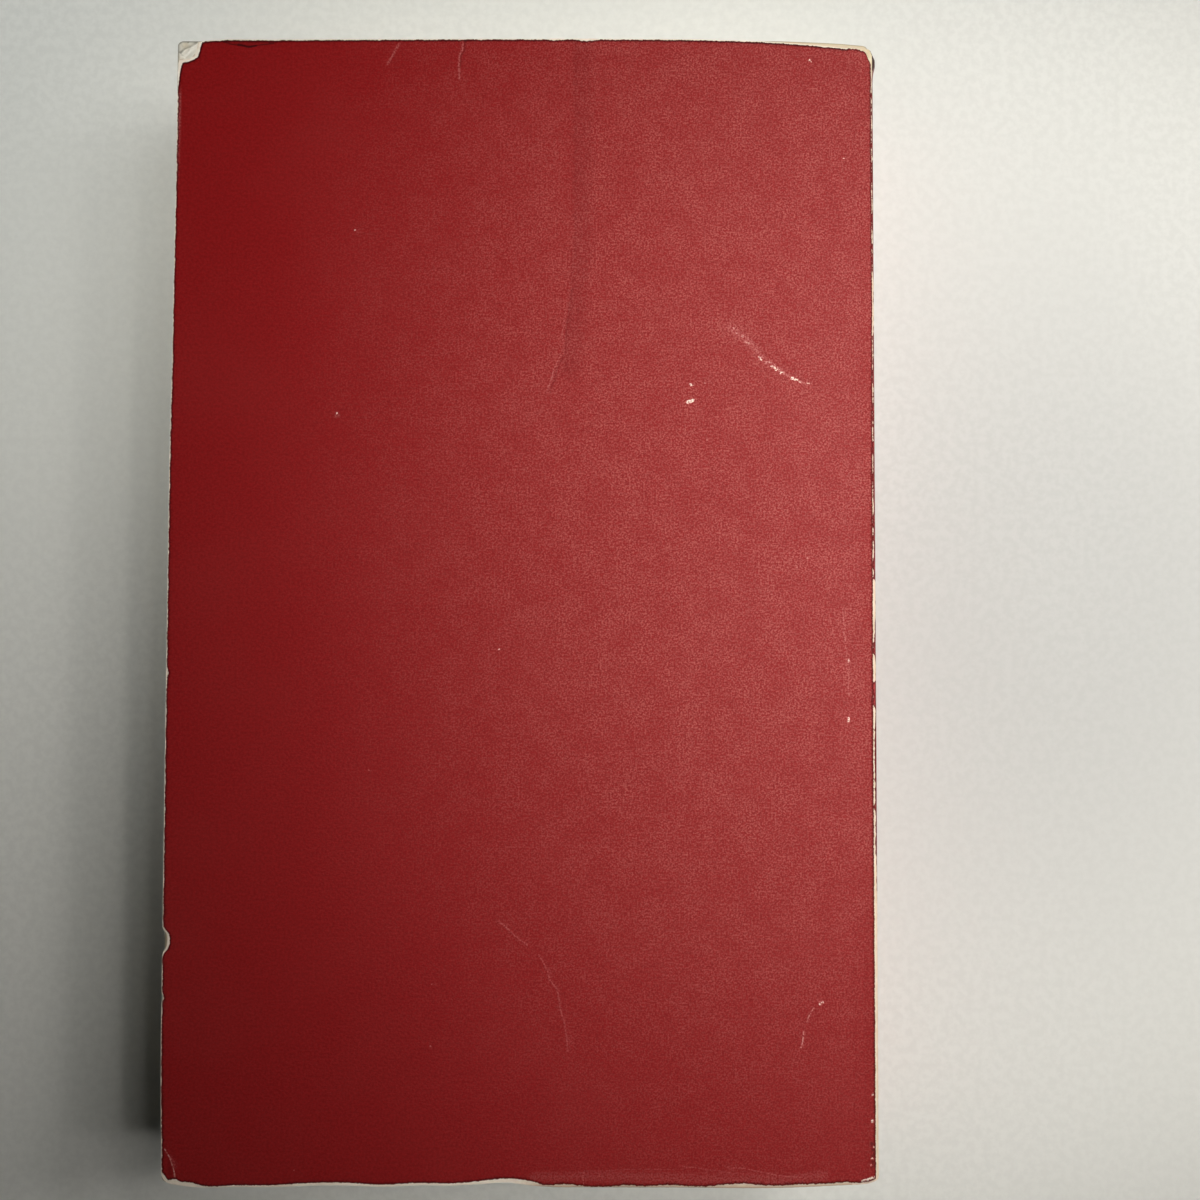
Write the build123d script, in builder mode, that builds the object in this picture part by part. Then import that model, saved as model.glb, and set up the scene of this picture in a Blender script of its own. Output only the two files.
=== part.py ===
"""A worn mass-market paperback that lies on its front cover.

+X points to the spine, +Y to the head and +Z out of the back cover. The origin is the
middle of the book's footprint, on the surface that it lies on. All sizes are in millimetres.

The cover is one printed card. It is glued to the page block at the spine and along a narrow
strip beside each fold of the spine, and each cover flap turns at the score line that bounds
its strip.
"""

from build123d import *
from math import sin
import os

# The whole book
book_width = 110.0
book_height = 178.0
book_thickness = 26.0

# The cover card and its folds
card_thickness = 0.3
fold_radius = 0.8
spine_bulge = 0.6
hinge_strip_width = 4.0
score_gap = 0.06
score_chamfer = 0.12
worn_corner_radius = 1.5

# The glue that holds the cover on
spine_glue_thickness = 0.6
side_glue_thickness = 0.15
glue_end_recess = 1.0

# The page block, whose leaves are drawn as bundles
bundle_count = 72
bundle_ripple = 0.22
ripple_pitch = 2.4
fine_ripple_pitch = 5.3
fore_edge_hollow = 0.5
fore_edge_recess = 0.1
block_slip = 0.4
leaf_corner_radius = 1.1
leaf_corner_spread = 0.35

# The corner torn off the back cover, at the head of the fore-edge
torn_radius = 4.1
tear_length = 6.2
tear_width = 0.8

# Nicks in the back cover's edges: how long, how deep and how far along the edge
fore_nick_length = 3.4
fore_nick_depth = 0.8
fore_nick_from_tail = 38.0
tail_nick_length = 8.0
tail_nick_depth = 0.8
tail_nick_from_fore = 52.5

# The head of the back cover, worn down towards the spine
head_wear_length = 17.5
head_wear_at_score = 1.1
head_wear_at_fold = 2.2
spine_corner_depth = 3.0

# Places that follow from the sizes
fore_x = -book_width / 2
spine_x = book_width / 2
fold_x = spine_x - spine_bulge
score_x = fold_x - hinge_strip_width
head_y = book_height / 2
tail_y = -book_height / 2
cover_tail_y = tail_y + block_slip
block_head_y = head_y - block_slip
block_fore_x = fore_x + fore_edge_recess
block_spine_x = fold_x - card_thickness - spine_glue_thickness
block_bottom_z = card_thickness + side_glue_thickness
block_top_z = book_thickness - block_bottom_z
middle_z = book_thickness / 2
bundle_thickness = (block_top_z - block_bottom_z) / bundle_count


def spine_section(inset):
    """The book's section from the score lines to the spine, set in from the cover's outside."""
    with BuildSketch(Plane.XZ) as section:
        with BuildLine():
            Polyline((fold_x, book_thickness), (fore_x, book_thickness), (fore_x, 0), (fold_x, 0))
            ThreePointArc((fold_x, 0), (spine_x, middle_z), (fold_x, book_thickness))
        make_face()
        fillet(section.vertices().group_by(Axis.X)[-1], fold_radius)
        offset(amount=-inset, mode=Mode.REPLACE)
        with Locations((score_x + score_gap / 2, middle_z)):
            Rectangle(book_width, book_thickness, align=(Align.MIN, Align.CENTER), mode=Mode.INTERSECT)
    return section.sketch


def block_section():
    """The page block's section across the book: flat faces, a rounded back and no fore-edge yet."""
    with BuildSketch(Plane.XZ) as section:
        with BuildLine():
            Polyline(
                (block_spine_x, block_top_z),
                (fore_x, block_top_z),
                (fore_x, block_bottom_z),
                (block_spine_x, block_bottom_z),
            )
            ThreePointArc(
                (block_spine_x, block_bottom_z),
                (block_spine_x + spine_bulge, middle_z),
                (block_spine_x, block_top_z),
            )
        make_face()
    return section.sketch


def ripple(bundle, phase):
    """How far a bundle of leaves stands back from the trimmed face."""
    coarse = sin(ripple_pitch * bundle + phase)
    fine = sin(fine_ripple_pitch * bundle + 2 * phase)
    return bundle_ripple * (2 + coarse + fine) / 4


def bundle_outline(bundle):
    """The outline of one bundle of leaves, seen from above."""
    height_share = (bundle + 0.5) / bundle_count
    hollow = fore_edge_hollow * 4 * height_share * (1 - height_share)
    fore = block_fore_x + hollow + ripple(bundle, phase=0.0)
    head = block_head_y - ripple(bundle, phase=1.3)
    tail = tail_y + ripple(bundle, phase=2.9)
    corner_radius = leaf_corner_radius + leaf_corner_spread * sin(ripple_pitch * bundle)
    with BuildSketch(Plane.XY.offset(block_bottom_z + bundle * bundle_thickness)) as outline:
        with BuildLine():
            Polyline((fore, tail), (spine_x, tail), (spine_x, head), (fore, head), close=True)
        make_face()
        fillet(outline.vertices().group_by(Axis.X)[0], corner_radius)
    return outline.sketch


def nick_radius(length, depth):
    """The radius of the round nick with this chord and this depth."""
    return (length**2 / 4 + depth**2) / (2 * depth)


# The page block: bundles of leaves, with the back rounded by the spine
with BuildPart() as page_block:
    for bundle in range(bundle_count):
        add(bundle_outline(bundle))
    extrude(amount=bundle_thickness)
    extrude(block_section(), amount=book_height, both=True, mode=Mode.INTERSECT)
page_block.part.label = "page_block"

# The spine glue: the layer on the leaves' backs, and the thin side glue under both strips
with BuildPart() as spine_glue:
    with BuildSketch(Plane.XZ.offset(-block_head_y + glue_end_recess)) as glue_section:
        add(spine_section(inset=card_thickness))
        add(block_section(), mode=Mode.SUBTRACT)
    extrude(amount=block_head_y - cover_tail_y - 2 * glue_end_recess)
spine_glue.part.label = "spine_glue"

# The spine cover: the spine panel and the two glued strips, folded from one card
with BuildPart() as spine_cover:
    with BuildSketch(Plane.XZ.offset(-head_y)) as cover_section:
        add(spine_section(inset=0))
        add(spine_section(inset=card_thickness), mode=Mode.SUBTRACT)
        score_corners = cover_section.vertices().group_by(Axis.X)[0].sort_by(Axis.Y)
        chamfer([score_corners[0], score_corners[-1]], score_chamfer)
    extrude(amount=head_y - cover_tail_y)
    with BuildSketch(Plane.XY.offset(book_thickness)) as worn_spine_corner:
        with BuildLine():
            Polyline(
                (score_x, head_y - head_wear_at_score),
                (fold_x - fold_radius, head_y - head_wear_at_fold),
                (spine_x, head_y - head_wear_at_fold),
                (spine_x, head_y),
                (score_x, head_y),
                close=True,
            )
        make_face()
    extrude(amount=-spine_corner_depth, mode=Mode.SUBTRACT)
spine_cover.part.label = "spine_cover"

# The front cover: the flap that the book lies on
with BuildPart() as front_cover:
    with BuildSketch() as front_outline:
        with BuildLine():
            Polyline(
                (fore_x, cover_tail_y),
                (score_x - score_gap / 2, cover_tail_y),
                (score_x - score_gap / 2, head_y),
                (fore_x, head_y),
                close=True,
            )
        make_face()
        fillet(front_outline.vertices().group_by(Axis.X)[0], worn_corner_radius)
    extrude(amount=card_thickness)
    chamfer(front_cover.edges().group_by(Axis.X)[-1].sort_by(Axis.Z)[0], score_chamfer)
front_cover.part.label = "front_cover"

# The back cover: torn, nicked and worn down at its head
with BuildPart() as back_cover:
    with BuildSketch(Plane.XY.offset(book_thickness - card_thickness)) as back_outline:
        with BuildLine():
            Polyline(
                (fore_x, cover_tail_y),
                (score_x - score_gap / 2, cover_tail_y),
                (score_x - score_gap / 2, head_y - head_wear_at_score),
                (fold_x - head_wear_length, head_y),
                (fore_x, head_y),
                close=True,
            )
        make_face()
        fillet(back_outline.vertices().group_by(Axis.X)[0].sort_by(Axis.Y)[0], worn_corner_radius)
        with Locations((fore_x, head_y)):
            Circle(torn_radius, mode=Mode.SUBTRACT)
        with BuildLine():
            Polyline(
                (fore_x, head_y - tear_length),
                (fore_x + tear_width, head_y - torn_radius),
                (fore_x, head_y - torn_radius),
                close=True,
            )
        make_face(mode=Mode.SUBTRACT)
        fore_nick_radius = nick_radius(fore_nick_length, fore_nick_depth)
        with Locations((fore_x + fore_nick_depth - fore_nick_radius, tail_y + fore_nick_from_tail)):
            Circle(fore_nick_radius, mode=Mode.SUBTRACT)
        tail_nick_radius = nick_radius(tail_nick_length, tail_nick_depth)
        with Locations((fore_x + tail_nick_from_fore, cover_tail_y + tail_nick_depth - tail_nick_radius)):
            Circle(tail_nick_radius, mode=Mode.SUBTRACT)
    extrude(amount=card_thickness)
    chamfer(back_cover.edges().group_by(Axis.X)[-1].sort_by(Axis.Z)[-1], score_chamfer)
back_cover.part.label = "back_cover"

os.makedirs("parts", exist_ok=True)
for piece in (page_block, spine_glue, spine_cover, front_cover, back_cover):
    export_step(piece.part, f"parts/{piece.part.label}.step")
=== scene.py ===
"""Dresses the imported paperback: worn red card, cream leaves, pale desk, light and camera.

Places on the book are in millimetres in the row frame: +X to the spine, +Y to the head, +Z out
of the back cover. They become metres where a mesh is made.
"""

import math
from collections import namedtuple

import bpy
import numpy as np
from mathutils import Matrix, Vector
from mathutils.geometry import delaunay_2d_cdt


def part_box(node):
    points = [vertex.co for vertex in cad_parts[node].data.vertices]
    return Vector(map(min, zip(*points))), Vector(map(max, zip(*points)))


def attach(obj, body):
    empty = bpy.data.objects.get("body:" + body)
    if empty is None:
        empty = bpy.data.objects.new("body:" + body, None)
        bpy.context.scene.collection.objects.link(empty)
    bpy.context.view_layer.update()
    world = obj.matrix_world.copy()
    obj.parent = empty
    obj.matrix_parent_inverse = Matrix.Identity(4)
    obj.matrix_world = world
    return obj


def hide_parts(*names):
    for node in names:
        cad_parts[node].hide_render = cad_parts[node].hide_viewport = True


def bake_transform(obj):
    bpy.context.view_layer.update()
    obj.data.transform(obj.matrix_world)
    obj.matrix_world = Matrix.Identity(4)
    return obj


MM = 0.001

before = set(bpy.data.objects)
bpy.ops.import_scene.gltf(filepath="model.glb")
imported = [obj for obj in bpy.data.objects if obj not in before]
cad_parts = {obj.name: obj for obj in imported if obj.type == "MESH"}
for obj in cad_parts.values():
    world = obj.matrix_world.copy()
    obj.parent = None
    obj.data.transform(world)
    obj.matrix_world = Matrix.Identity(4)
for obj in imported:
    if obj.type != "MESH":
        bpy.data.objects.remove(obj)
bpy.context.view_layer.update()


def box_mm(node):
    """A CAD node's lowest and highest corners, in millimetres."""
    low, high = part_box(node)
    return low / MM, high / MM


# Places that follow from the frame
back_low, back_high = box_mm("back_cover")
spine_low, spine_high = box_mm("spine_cover")
block_low, block_high = box_mm("page_block")
FORE = back_low.x
HEAD = back_high.y
COVER_TAIL = back_low.y
TOP = back_high.z
CARD = back_high.z - back_low.z

# The ends of the card where it is hardly worn
PLAIN_TAIL = COVER_TAIL + 0.1
PLAIN_HEAD = HEAD - 0.1

# The score line, the spine's outside and its folds, as the part has them
SEAM = (back_high.x + spine_low.x) / 2
SPINE = spine_high.x
SPINE_BULGE = 0.6
FOLD_RADIUS = 0.8
FOLD = SPINE - SPINE_BULGE
FOLD_START = FOLD - FOLD_RADIUS

# How far the upper fold strays across the book at its tail and at its head
FOLD_DRIFT = (0.2, -0.2)

# Mesh spacings
GRID_STEP = 1.15
EDGE_STEP = 0.3
FINE_STEP = 0.12
ROW_COUNT = 520
ROW_CROWDING = 0.7

# The back cover's worn outline: its head and tail edges, and how much bare card the tail shows
HEAD_LINE = [
    (-51.5, 87.93), (-49, 88.2), (-40, 88.33), (-23, 88.52), (2, 88.7), (29, 88.68), (37, 88.46),
    (44.2, 88), (49.5, 87.5), (52.5, 87.15), (53.2, 86.75), (53.6, 85.85), (54.4, 84.5),
]
TAIL_LINE = [
    (-53.4, -88.02), (-50.5, -88.43), (-43, -88.49), (-37, -88.48), (-34, -88.33), (-26.5, -88.24),
    (-21.7, -88.4), (-15.6, -88.2), (-10.3, -88.22), (-6.3, -88.02), (-1.9, -87.77), (1.1, -88.15),
    (4.2, -88.41), (10, -88.45), (22, -88.48), (42, -88.44), (46.7, -88.22), (49.6, -88.08),
    (51.9, -88), (53.4, -87.62), (54.4, -87.15),
]
TAIL_BARE = [
    (-53.4, 0.6), (-52.4, 0.85), (-51.6, 0.6), (-50.2, 0.7), (-48.6, 0.32), (-43, 0.3), (-37, 0.33),
    (-34, 0.4), (-26.5, 0.45), (-21.7, 0.33), (-15.6, 0.39), (-10.3, 0.36), (-6.3, 0.5), (-1.9, 0.64),
    (1.1, 0.7), (4.2, 0.23), (6, 0.48), (10.1, 0.14), (13.2, 0.12), (15.9, 0.35), (19.2, 0.2),
    (22.1, 0.4), (26.7, 0.18), (34.2, 0.68), (37.8, 0.38), (42, 0.46), (46.7, 0.38), (49.6, 0.44),
    (51.9, 0.3), (54.4, 0.3),
]
CORNER_RADIUS = 1.5

# How far the fore-edge stands in from the CAD box, from tail to head, and where its nicks are
FORE_LINE = [
    (-84, 0.34), (-80, 0.23), (-74, 0.1), (-67, 0.03), (-46, 0.02), (-20, 0.01), (16, 0.01),
    (28, 0.08), (35, 0.19), (47, 0.25), (56, 0.32), (62, 0.38), (70, 0.42), (84, 0.46),
]
FORE_NICK = -51.4
SMALL_NICK = -60.0

# The torn corner: where the card ends, and where its printed face ends
TEAR_EDGE = [
    (-51.4, 88), (-51.55, 87.1), (-51.85, 86.1), (-52.6, 85.3), (-53.5, 85.2), (-54.2, 85.2),
    (-54.5, 84.6), (-54.54, 83),
]
TEAR_INK = [
    (-50.6, 88.3), (-50.92, 87.43), (-51.15, 86.43), (-51.42, 85.5), (-52.1, 85.06), (-52.99, 84.7),
    (-53.71, 84.66), (-53.98, 84.04), (-54.15, 83.12), (-54.28, 82.2), (-54.36, 81.1), (-54.6, 80),
]
PLY_STEP = 0.13

# A wear-and-shade value above 0 is rubbed ink, up to bare card, and below 0 it darkens the ink: grime,
# and painted shade beside ridges, in creases and dents and along worn edges. A lift is a ridge's height,
# and below 0 a dent's depth.
Mark = namedtuple("Mark", "path half_width scuff lift", defaults=(0, 0))

# How far the marks wander off their paths
MARK_WANDER = 0.09

# Marks on the back cover: path, half width, wear and shade, and lift
MARK_ROWS = [
    # The arc of white specks at the upper right
    ([(32, 43.2), (33.3, 42.2), (35.2, 40.6), (36.3, 38.8), (38.4, 37.2), (39.6, 36.5)], 0.42, 0.5),
    ([(31.8, 43.4), (34.2, 41.4), (36, 39.4)], 0.9, 0.22),
    ([(36.3, 38.6), (36.7, 38.2)], 0.16, 0.75),
    ([(38.2, 37.25), (39.2, 36.75), (39.8, 36.35)], 0.32, 0.8),
    ([(38.4, 37.15), (38.8, 36.95)], 0.16, 0.9),
    ([(41.3, 35.4), (42, 35.1)], 0.22, 1.1),
    ([(40, 36.2), (41.3, 35.5), (42.8, 34.8)], 0.2, 0.45),
    ([(42.5, 34.75), (43.4, 34.6), (44.4, 34.55)], 0.13, 0.6),
    ([(25.2, 31.6), (26, 31.85)], 0.26, 1.1),
    # The scratch at the lower right
    ([(46, -60.6), (45.5, -60.9)], 0.16, 0.85),
    ([(44.6, -61.4), (44.2, -62), (43.8, -62.6), (43.4, -63.5)], 0.11, 0.5),
    ([(43, -64.9), (42.9, -65.8), (42.8, -66.5), (42.6, -67.4)], 0.11, 0.55),
    # The curved crease low in the middle, in two stretches
    ([(-3.7, -48.4), (-2.3, -49.5), (-0.6, -51), (0.7, -52)], 0.14, 0.3, 0.02),
    (
        [(2.5, -53.4), (3.7, -55.7), (4.2, -57.2), (5.3, -58.7), (5.9, -61.5), (6.5, -64), (7, -68.1)],
        0.14, 0.28, 0.02,
    ),
    # The long soft ridge down from the head, with painted shade on one side and painted light on the other,
    # and the short creases beside it, with painted shade along their dark sides
    ([(7.8, 88.6), (6.8, 83.6), (7.6, 79.6), (7.6, 76), (6.8, 49.4)], 0.9, 0.03, 0.02),
    ([(6.8, 49.4), (5.9, 43.3), (5.8, 39.1), (4.8, 37.2), (3.5, 33)], 0.6, 0.06, 0.02),
    ([(8.6, 88.2), (8.8, 70), (8.7, 56), (7.9, 47), (6.9, 36.5)], 1.9, -0.2),
    ([(7.7, 88.2), (7.7, 70), (7.7, 56), (7, 47), (6.4, 36.5)], 0.5, -0.26),
    ([(4.4, 88), (4.8, 70), (4.2, 50), (3, 38)], 1.9, 0.03),
    ([(7.3, 49.4), (6.3, 43.3), (6.2, 39.1), (5.2, 37.2), (3.9, 33)], 0.14, -0.38),
    ([(6.8, 49.4), (5.8, 43.3), (5.7, 39.1), (4.7, 37.2), (3.4, 33)], 0.14, 0.36, 0.015),
    ([(-1.5, 30), (-3.5, 16), (-5, 4)], 2.6, -0.025),
    ([(-10.1, 88.8), (-10.1, 86.8), (-10.6, 86), (-10.6, 84.3), (-10.5, 82.2)], 0.16, 0.4, 0.015),
    ([(-9.8, 88.6), (-9.8, 86.7), (-10.3, 85.9), (-10.3, 84.3)], 0.14, -0.45),
    ([(-19.5, 88.6), (-20.8, 86.2), (-21.8, 84.5)], 0.18, 0.32, 0.015),
    ([(26.7, -54.7), (26.8, -69), (26.7, -83)], 0.4, 0.03, 0.01),
    # Fine scratches by the tail
    ([(31.5, -85.3), (34.2, -85.7), (36.8, -86.2), (39, -86.6), (43.2, -87.1)], 0.09, 0.32),
    ([(23.8, -85.2), (27.5, -85.6), (32, -86.2), (38, -86.9)], 0.08, 0.24),
    ([(12.3, -86), (17, -85.7), (23.2, -85.8)], 0.08, 0.2),
    ([(9.6, -86.3), (9.5, -88)], 0.08, 0.35),
    ([(2, -86.9), (12, -86.8), (25, -87.1), (40, -87.3), (46, -86.6)], 0.8, 0.2),
    # Wear along the score line
    ([(49.1, -0.4), (49.6, -6), (50.1, -13.7)], 0.12, 0.3),
    ([(50, -8.3), (50.1, -8.7)], 0.18, 0.7),
    ([(50, -17.2), (50, -17.8)], 0.2, 0.8),
    ([(52.45, 87), (52.5, 85.5), (52.45, 83.6)], 0.1, 0.3),
    # The scuffed corner at the tail of the spine
    ([(53.2, -81.9), (53.3, -83.3), (53.3, -85.2)], 0.36, -0.55),
    ([(52.9, -82.3), (53.1, -84.9)], 0.12, 0.25),
    ([(51.8, -87.5), (52.5, -87.25), (53.1, -86.95), (53.6, -86.8)], 0.17, 1.2),
    ([(52.3, -87.7), (53.1, -87.5), (53.65, -87.2)], 0.15, 1.1),
    ([(52.9, -87.45), (53.4, -87.3)], 0.13, -0.9),
    # The bent corner at the tail of the fore-edge, with painted shade past its crease
    ([(-54.1, -82.8), (-53.4, -84.1), (-52.5, -86.5), (-52.25, -87.6)], 0.09, 0.6, 0.02),
    ([(-54, -84.8), (-53.4, -86.4)], 0.55, -0.4, -0.02),
    # The curved dent beside the torn corner, with painted shadow in it
    ([(-47.3, 87.9), (-45.8, 87.5), (-44.6, 87.32)], 0.12, -0.7, -0.02),
    ([(-45.2, 87.4), (-43.4, 87.17), (-42.3, 87.3)], 0.16, -1.2, -0.04),
    ([(-42.8, 87.25), (-41.3, 87.5), (-39.6, 87.72)], 0.12, -0.7, -0.02),
    ([(-47.5, 88.1), (-43.1, 87.7), (-38.5, 88.2)], 0.45, -0.12, -0.02),
]

# Single specks where the ink is knocked off: place, radius and strength
BACK_SPECKS = [
    (44.2, 85.45, 0.2, 0.9), (44.45, 85.2, 0.12, 0.7), (49.5, 70, 0.15, 0.75),
    (-29.2, 29.7, 0.14, 1), (-26.7, 58.3, 0.12, 0.8), (-3.8, -6.8, 0.13, 0.8), (43.7, 7.4, 0.12, 0.5),
    (42.1, 6, 0.12, 0.45), (-23.8, -25.4, 0.12, 0.5), (-13.8, -57.9, 0.13, 0.55),
    (-13.9, -67.2, 0.12, 0.5), (-7.8, 88.3, 0.16, 0.9), (5, 88.5, 0.2, 0.9), (25.8, 34.2, 0.25, 0.95),
    (25.5, 34.5, 0.18, 0.8), (27.9, 34.6, 0.14, 0.7), (28.2, 25.7, 0.13, 0.6),
    (53.35, -74.3, 0.18, 1), (53.3, -78.4, 0.18, 1.3), (53.4, -82.4, 0.2, 0.8), (53.2, -83.2, 0.13, 0.6),
    (53.3, -84, 0.18, 1.1), (53.1, -85.1, 0.18, 0.9), (12, -86.75, 0.14, 0.4),
    (-34.5, -85.9, 0.1, 0.4),
]
MARK_ROWS += [([(x, y), (x + 0.05, y)], radius, strength) for x, y, radius, strength in BACK_SPECKS]
BACK_MARKS = [Mark(*row) for row in MARK_ROWS]


def waver(t, pitch, seed):
    """Smooth seeded ups and downs along t, between about -1 and 1, one every pitch or so."""
    turn = 2 * np.pi * np.asarray(t, float) / pitch
    slow = np.sin(turn + 1.7 * seed)
    middle = np.sin(2.3 * turn + 2.9 * seed)
    quick = np.sin(4.7 * turn + 4.1 * seed)
    return (slow + 0.6 * middle + 0.4 * quick) / 2


def hump(t, middle, half_width, power=2):
    """A smooth hump of height 1, flatter on top and steeper at its sides with a higher power."""
    return np.exp(-(((t - middle) / half_width) ** power))


def share(value):
    """The value, kept between 0 and 1."""
    return np.clip(value, 0, 1)


def smooth_line(places, knots):
    """A smooth line through knots of place and value, level past its ends."""
    at, value = np.array(knots, float).T
    slope = np.gradient(value, at)
    places = np.clip(np.asarray(places, float), at[0], at[-1])
    after = np.clip(np.searchsorted(at, places), 1, len(at) - 1)
    before = after - 1
    run = at[after] - at[before]
    t = (places - at[before]) / run
    start = value[before] * (1 + 2 * t) + slope[before] * run * t
    end = value[after] * (3 - 2 * t) - slope[after] * run * (1 - t)
    return start * (1 - t) ** 2 + end * t**2


def cloud(x, y, pitch, seed):
    """Smooth seeded noise over a plane, between -1 and 1, with lumps about one pitch across."""
    size = 512
    lattice = np.random.default_rng(seed).uniform(-1, 1, (size, size))
    u = np.asarray(x, float) / pitch + size / 2
    v = np.asarray(y, float) / pitch + size / 2
    i, j = np.floor(u).astype(int), np.floor(v).astype(int)
    fu, fv = u - i, v - j
    fu, fv = fu * fu * (3 - 2 * fu), fv * fv * (3 - 2 * fv)

    def corner(di, dj):
        return lattice[(i + di) % size, (j + dj) % size]

    low = corner(0, 0) * (1 - fu) + corner(1, 0) * fu
    high = corner(0, 1) * (1 - fu) + corner(1, 1) * fu
    return low * (1 - fv) + high * fv


def path_distance(points, path):
    """How far each point lies from a path of straight runs."""
    nearest = np.full(len(points), np.inf)
    path = np.asarray(path, float)
    for start, end in zip(path[:-1], path[1:]):
        run = end - start
        along = share((points - start) @ run / max(run @ run, 1e-12))
        gap = points - start - along[:, None] * run
        nearest = np.minimum(nearest, np.hypot(gap[:, 0], gap[:, 1]))
    return nearest


def inside_loop(points, loop):
    """Whether each point lies inside a closed loop."""
    inside = np.zeros(len(points), bool)
    x, y = points.T
    for (x1, y1), (x2, y2) in zip(loop, np.roll(loop, -1, axis=0)):
        if y1 == y2:
            continue
        crosses = (y1 > y) != (y2 > y)
        inside ^= crosses & (x < (x2 - x1) * (y - y1) / (y2 - y1) + x1)
    return inside


def resample(path, step):
    """A path's points, spaced evenly, with both ends kept."""
    path = np.asarray(path, float)
    lengths = np.hypot(*np.diff(path, axis=0).T)
    along = np.concatenate([[0], np.cumsum(lengths)])
    places = np.linspace(0, along[-1], max(2, int(round(along[-1] / step)) + 1))
    return np.stack([np.interp(places, along, values) for values in path.T], 1)


# The worn outline of the back cover, which runs on over the spine's strip

def fore_edge(y):
    ragged = 0.03 * np.maximum(1 + waver(y, 3.1, 1), 0) / 2
    return FORE + np.maximum(smooth_line(y, FORE_LINE), 0.01) + ragged


def head_edge(x):
    return smooth_line(x, HEAD_LINE) + 0.02 * waver(x, 2.7, 2)


def tail_edge(x):
    return smooth_line(x, TAIL_LINE) + 0.02 * waver(x, 1.9, 4)


def back_outline():
    """The back flap's outline, as the named sides that make it up, anticlockwise."""
    tail_x = np.arange(FORE + CORNER_RADIUS + 0.5, SEAM, EDGE_STEP)
    tail = np.stack([tail_x, tail_edge(tail_x)], 1)
    seam = seam_rows(tail_edge(SEAM), head_edge(SEAM))
    head_x = np.arange(SEAM - EDGE_STEP, TEAR_EDGE[0][0], -EDGE_STEP)
    head = np.stack([head_x, head_edge(head_x)], 1)
    tear = resample(TEAR_EDGE, FINE_STEP)
    tear = tear + 0.05 * cloud(tear[:, 0], tear[:, 1], 0.35, 11)[:, None] * np.array([0.7, -0.7])
    fore_y = np.arange(tear[-1, 1] - EDGE_STEP, COVER_TAIL + CORNER_RADIUS + 0.6, -EDGE_STEP)
    nicks = 0.75 * hump(fore_y, FORE_NICK, 1.5, 4) + 0.3 * hump(fore_y, SMALL_NICK, 0.5)
    fore = np.stack([fore_edge(fore_y) + nicks, fore_y], 1)
    start, end = fore[-1], tail[0]
    square = np.array([start[0], end[1]])
    control = square + 0.17 * (start + end - 2 * square)
    turn = np.linspace(0, 1, 9)[1:-1, None]
    corner = (1 - turn) ** 2 * start + 2 * turn * (1 - turn) * control + turn**2 * end
    return dict(tail=tail, seam=seam, head=head, tear=tear, fore=fore, corner=corner)


def row_shares():
    """Shares of the cover's height from 0 to 1, closest together at its tail and head."""
    t = np.linspace(-1, 1, ROW_COUNT + 1)
    return 0.5 + 0.5 * ((1 - ROW_CROWDING) * t + ROW_CROWDING * np.sin(0.5 * np.pi * t))


def seam_rows(low, high):
    """The points of a score line, which the flap and the spine's strip share."""
    return np.stack([np.full(ROW_COUNT + 1, SEAM), low + row_shares() * (high - low)], 1)


def mark_profile(points):
    """The wear, grime and painted shade, and the lift, that the back cover's marks leave at each point."""
    x, y = points.T
    wandered = points + MARK_WANDER * np.stack([cloud(x, y, 1.4, 37), cloud(x, y, 1.4, 38)], 1)
    broken = np.clip(0.55 + 1.4 * cloud(x, y, 0.3, 36), 0.0, 1.5)
    scuff, grime_and_shade, lift = np.zeros((3, len(points)))
    for mark in BACK_MARKS:
        away = path_distance(wandered, mark.path) / mark.half_width
        is_flecked = mark.half_width > 0.3 and mark.scuff > 0.3
        trace = mark.scuff * share(1.5 - away) * (broken if is_flecked else 1)
        scuff = np.maximum(scuff, trace)
        grime_and_shade = np.minimum(grime_and_shade, trace)
        lift += mark.lift * hump(away, 0, 1)
    return np.where(scuff > 0.4, scuff, scuff + grime_and_shade), lift


def flat_share(x):
    """How much of a relief shows: all of it on the flat card, and none at the upper fold."""
    return share((FOLD_START - x) / 1.5)


def back_relief(x, y):
    """How high the back cover's outer face lies against the top of the book: never above 0."""
    waves = 0.03 * cloud(x, y, 17, 3) + 0.01 * cloud(x, y, 5.5, 4)
    return -(0.06 - waves) * flat_share(x) - 0.012 * hump(x, SEAM, 0.35)


def edge_curl(away, fading=0.3):
    """How far a worn edge of the card curls in, at a distance from the edge."""
    return 0.05 * np.exp(-away / fading)


def new_mesh(name, vertices, faces, materials, face_slots=None, smooth_angle=50):
    """A mesh object from millimetres, shaded smooth up to an angle."""
    mesh = bpy.data.meshes.new(name)
    mesh.from_pydata((np.asarray(vertices) * MM).tolist(), [], [list(map(int, f)) for f in faces])
    for material in materials:
        mesh.materials.append(material)
    if face_slots is not None:
        mesh.polygons.foreach_set("material_index", np.asarray(face_slots, np.int32))
    mesh.shade_smooth()
    mesh.set_sharp_from_angle(angle=math.radians(smooth_angle))
    mesh.update()
    made = bpy.data.objects.new(name, mesh)
    bpy.context.scene.collection.objects.link(made)
    return made


def set_attribute(made, name, values):
    """Stores one value or one vector for each vertex."""
    kind, field = ("FLOAT_VECTOR", "vector") if np.ndim(values) == 2 else ("FLOAT", "value")
    stored = made.data.attributes.new(name, kind, "POINT")
    stored.data.foreach_set(field, np.asarray(values, np.float32).ravel())


def set_card_values(made, **values):
    """Stores values that a card's outer face and its inner face share."""
    for name, shared in values.items():
        set_attribute(made, name, np.tile(np.ravel(shared), 2))


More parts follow.
